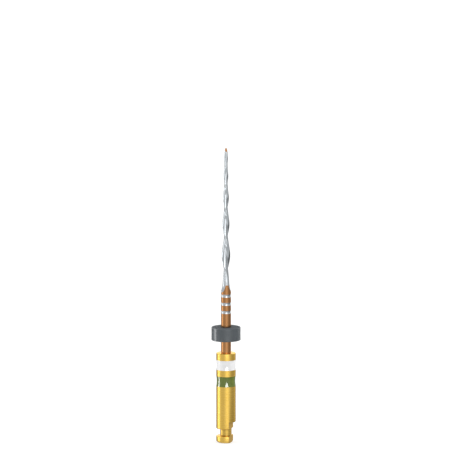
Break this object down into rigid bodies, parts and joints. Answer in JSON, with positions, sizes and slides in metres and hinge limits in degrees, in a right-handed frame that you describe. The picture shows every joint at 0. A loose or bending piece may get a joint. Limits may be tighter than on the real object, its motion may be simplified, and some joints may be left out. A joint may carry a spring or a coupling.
{
  "type": "endodontic file",
  "caption": "Machine-driven root canal file: left-hand fluted nickel-titanium blade on a ringed shaft, sliding silicone depth stop, gold latch handle with colour bands.",
  "frame": {"origin": "centre of the handle's end face, at the bottom of the knob", "axes": "+Z runs along the file from the handle's end face to the blade's tip; +X is near the drive flat's normal, which is turned 14.8 degrees from +X towards -Y"},
  "size_m": [0.0036, 0.0036, 0.036],
  "materials": {
    "niti_oxide": "copper-brown oxide on drawn nickel-titanium wire, satin",
    "niti_ground": "bright ground nickel-titanium with fine grinding lines",
    "gold_plate": "gold-plated turned brass, fine turning lines",
    "green_enamel": "glossy baked enamel",
    "white_enamel": "glossy baked enamel",
    "grey_silicone": "satin moulded silicone",
    "clear_adhesive": "cured translucent adhesive"
  },
  "bodies": {
    "file": {"file_wire": "niti_oxide", "latch_handle": "gold_plate", "green_band": "green_enamel", "white_band": "white_enamel", "bond_adhesive": "clear_adhesive"},
    "stop": {"silicone_stop": "grey_silicone"}
  },
  "joints": [
    {"name": "stop_slide", "type": "slide", "parent": "file", "child": "stop", "axis": [0, 0, 1], "range_m": [-0.00151, 0.00386]}
  ]
}
